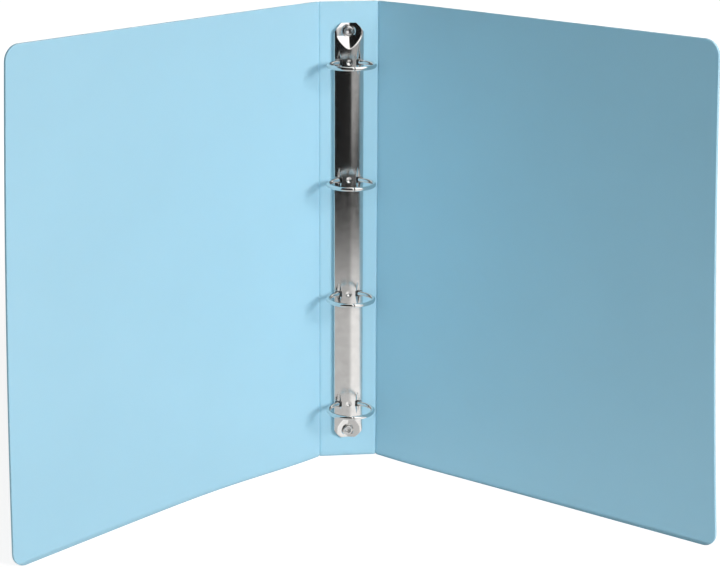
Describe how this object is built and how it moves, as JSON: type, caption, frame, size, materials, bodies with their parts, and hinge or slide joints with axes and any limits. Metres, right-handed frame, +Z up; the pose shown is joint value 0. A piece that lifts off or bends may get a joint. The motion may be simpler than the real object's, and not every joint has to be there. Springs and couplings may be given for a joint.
{
  "type": "ring binder",
  "caption": "Plastic ring binder for A4 sheets, standing part open: covers fold on living hinges, and round rings on a riveted snap mechanism part to take punched sheets.",
  "frame": {"origin": "middle of the spine panel's bottom edge, halfway through the sheet", "axes": "+X towards the rear cover (right as seen from the inside), -Y out of the spine and through the rings, +Z up along the spine"},
  "size_m": [0.4179, 0.1914, 0.32],
  "materials": {
    "cover_plastic": "satin sky-blue polypropylene with a fine grain",
    "fold_plastic": "the same polypropylene, thinned and smooth",
    "housing_nickel": "bright nickel plate on sheet steel",
    "ring_nickel": "bright nickel plate on steel wire",
    "rivet_nickel": "nickel plate, slightly dull",
    "blade_steel": "zinc-plated strip steel"
  },
  "bodies": {
    "spine": {"spine_panel": "cover_plastic", "front_fold_web": "fold_plastic", "rear_fold_web": "fold_plastic", "ring_housing": "housing_nickel", "upper_rivet": "rivet_nickel", "lower_rivet": "rivet_nickel"},
    "front_cover": {"front_cover": "cover_plastic"},
    "rear_cover": {"rear_cover": "cover_plastic"},
    "left_ring_side": {"left_blade": "blade_steel", "left_ring_half_1": "ring_nickel", "left_ring_half_2": "ring_nickel", "left_ring_half_3": "ring_nickel", "left_ring_half_4": "ring_nickel"},
    "right_ring_side": {"right_blade": "blade_steel", "right_ring_half_1": "ring_nickel", "right_ring_half_2": "ring_nickel", "right_ring_half_3": "ring_nickel", "right_ring_half_4": "ring_nickel"}
  },
  "joints": [
    {"name": "front_cover_fold", "type": "hinge", "parent": "spine", "child": "front_cover", "pos_m": [-0.02025, 0, 0.16], "axis": [0, 0, 1], "range_deg": [-130.7, 49.3], "deforming": ["front_fold_web"]},
    {"name": "rear_cover_fold", "type": "hinge", "parent": "spine", "child": "rear_cover", "pos_m": [0.02025, 0, 0.16], "axis": [0, 0, 1], "range_deg": [-43.5, 136.5], "deforming": ["rear_fold_web"]},
    {"name": "left_rings_open", "type": "hinge", "parent": "spine", "child": "left_ring_side", "pos_m": [-0.0087, -0.0023, 0.16], "axis": [0, 0, -1], "range_deg": [0, 9]},
    {"name": "right_rings_open", "type": "hinge", "parent": "spine", "child": "right_ring_side", "pos_m": [0.0087, -0.0023, 0.16], "axis": [0, 0, 1], "range_deg": [0, 9]}
  ],
  "couplings": [
    {"joint": "right_rings_open", "follows": "left_rings_open", "ratio": 1}
  ]
}
